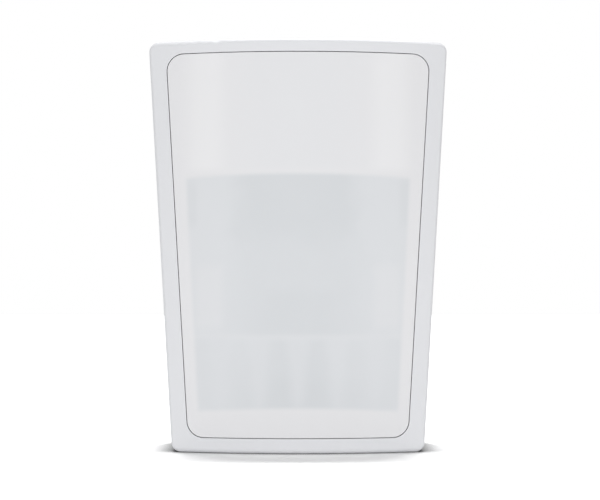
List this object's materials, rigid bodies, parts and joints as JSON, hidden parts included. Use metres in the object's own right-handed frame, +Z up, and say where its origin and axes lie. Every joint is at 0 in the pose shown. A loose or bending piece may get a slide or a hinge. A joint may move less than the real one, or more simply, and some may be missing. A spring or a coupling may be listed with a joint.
{
  "type": "pet-immune passive infrared motion detector",
  "caption": "Tapered white wall or corner motion detector with a barrel-shaped front, a large flush milky lens window and a battery-powered sensor board inside.",
  "frame": {"origin": "on the wall face of the back plate, midway between the two wall-screw holes, which is also its middle", "axes": "+Z up, +X to the right as seen from the front, +Y into the wall, so the barrel-shaped front faces -Y"},
  "size_m": [0.0764, 0.048, 0.104],
  "materials": {
    "housing_plastic": "satin white ABS with a fine spark-eroded grain",
    "window_plastic": "milky white HDPE, satin, slightly see-through",
    "inner_plastic": "plain white ABS",
    "chamber_plastic": "matte dark grey ABS",
    "foam": "black closed-cell foam",
    "board": "green solder mask on glass-epoxy laminate",
    "plated_steel": "nickel- or zinc-plated steel",
    "filter": "dark coated filter plate",
    "led": "white light body with a clear well",
    "cell_wrap": "plain dark printed sleeve with nothing on it",
    "dark_plastic": "black glass-filled nylon",
    "capacitor_can": "drawn aluminium can",
    "button_plastic": "off-white acetal"
  },
  "bodies": {
    "detector": {"back_plate": "housing_plastic", "front_housing": "housing_plastic", "lens_window": "window_plastic", "lens_retainer": "inner_plastic", "optics_chamber": "chamber_plastic", "sensor_gasket": "foam", "circuit_board": "board", "board_screws": "plated_steel", "cover_screw": "plated_steel", "sensor_base": "plated_steel", "sensor_can": "plated_steel", "sensor_filter": "filter", "status_led": "led", "battery_cell": "cell_wrap", "battery_holder": "dark_plastic", "battery_contact_positive": "plated_steel", "battery_contact_negative": "plated_steel", "controller_chip": "dark_plastic", "storage_capacitor": "capacitor_can", "radio_module": "board", "radio_shield": "plated_steel", "antenna_strip": "plated_steel", "jumper_header": "dark_plastic", "jumper_cap": "dark_plastic", "enrol_button_body": "dark_plastic", "tamper_switch_body": "dark_plastic"},
    "tamper": {"tamper_plunger": "button_plastic"},
    "enrol_button": {"enrol_button_cap": "button_plastic"}
  },
  "joints": [
    {"name": "tamper_slide", "type": "slide", "parent": "detector", "child": "tamper", "axis": [0, 1, 0], "range_m": [0, 0.0005], "stiffness_N_per_m": 600, "springref_m": -0.001},
    {"name": "enrol_press", "type": "slide", "parent": "detector", "child": "enrol_button", "axis": [0, 1, 0], "range_m": [0, 0.00025], "stiffness_N_per_m": 4000, "springref_m": -0.0002}
  ]
}
